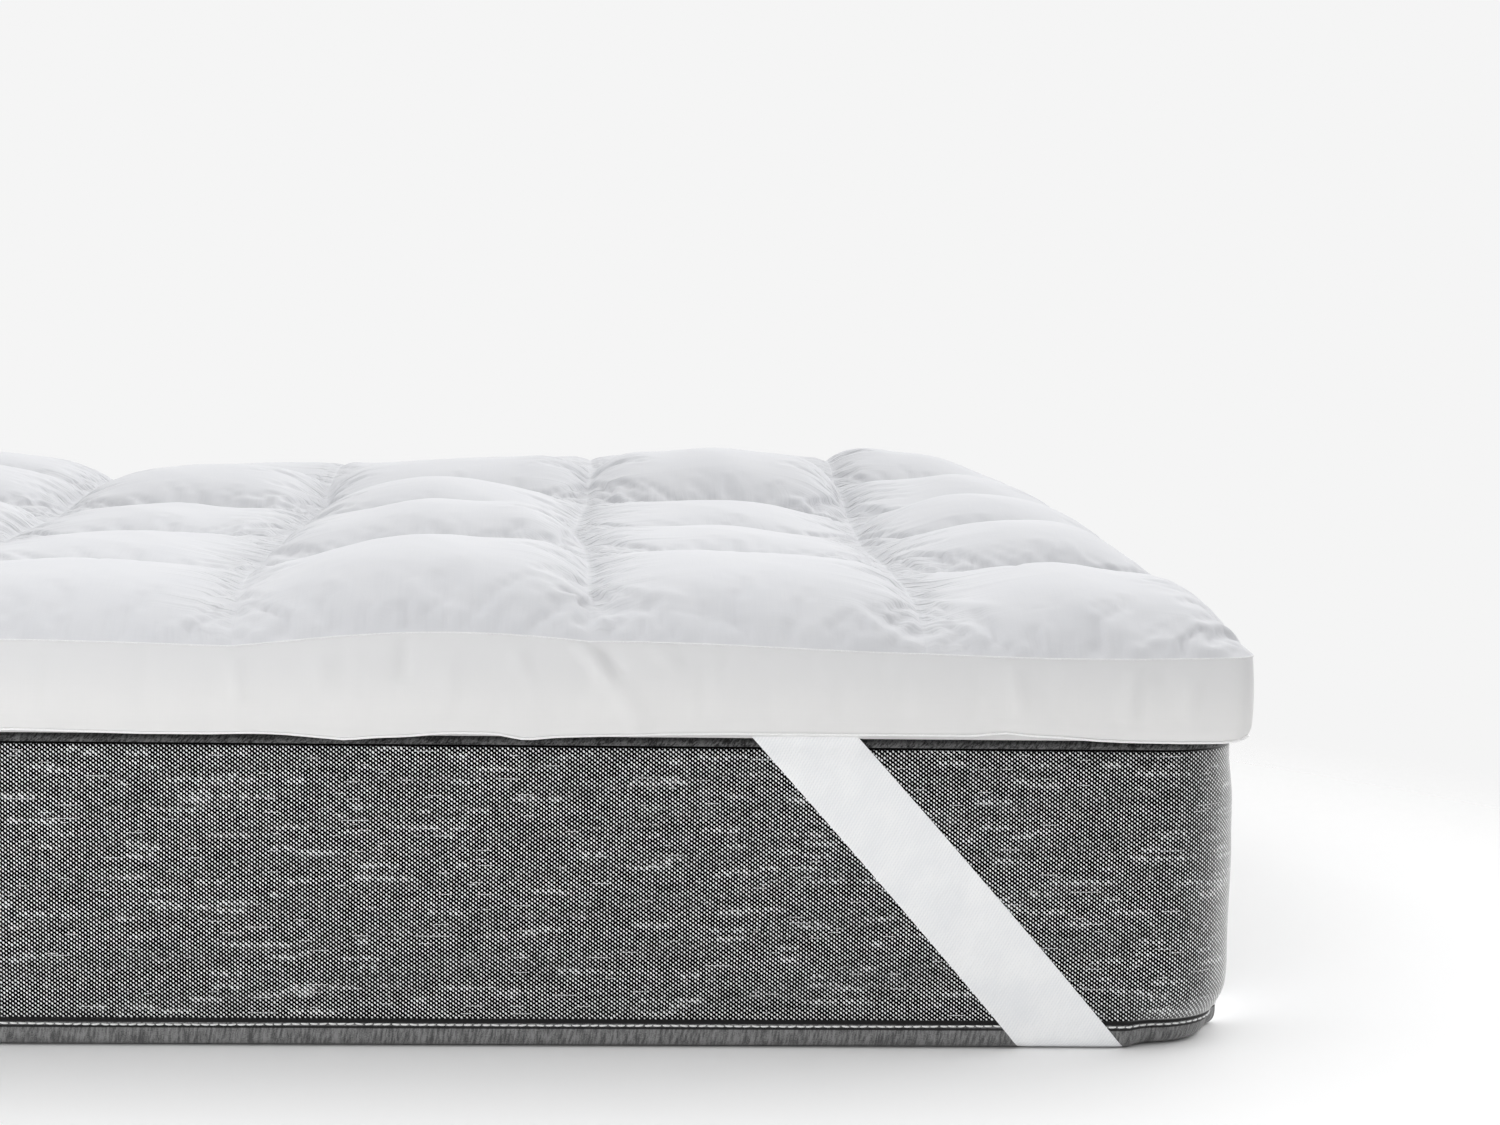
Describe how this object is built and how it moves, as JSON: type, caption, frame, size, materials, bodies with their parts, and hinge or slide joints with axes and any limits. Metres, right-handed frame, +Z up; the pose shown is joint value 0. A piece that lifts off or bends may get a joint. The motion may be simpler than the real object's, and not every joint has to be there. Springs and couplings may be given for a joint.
{
  "type": "mattress topper on the mattress that it fits",
  "caption": "White filled mattress topper sewn in puffed boxes, with a deep plain gusset and elastic corner straps that pass under the grey mattress it lies on.",
  "frame": {"origin": "on the plane that the mattress's underside lies on, under the middle of the mattress", "axes": "+X along the mattress's length, +Y across its width and away from the front long side, +Z up"},
  "size_m": [1.92, 1.4, 0.411],
  "materials": {
    "topper_cotton": "plain white cotton, matt, softly puckered along the sewn channels",
    "strap_elastic": "flat white woven elastic with a fine twill",
    "mattress_knit": "heathered grey and white dotted weave with a charcoal band at the top and a plain grey band at the foot"
  },
  "bodies": {
    "root": {"topper": "topper_cotton", "strap_front_right": "strap_elastic", "strap_front_left": "strap_elastic", "strap_back_right": "strap_elastic", "strap_back_left": "strap_elastic", "mattress": "mattress_knit"}
  },
  "joints": []
}
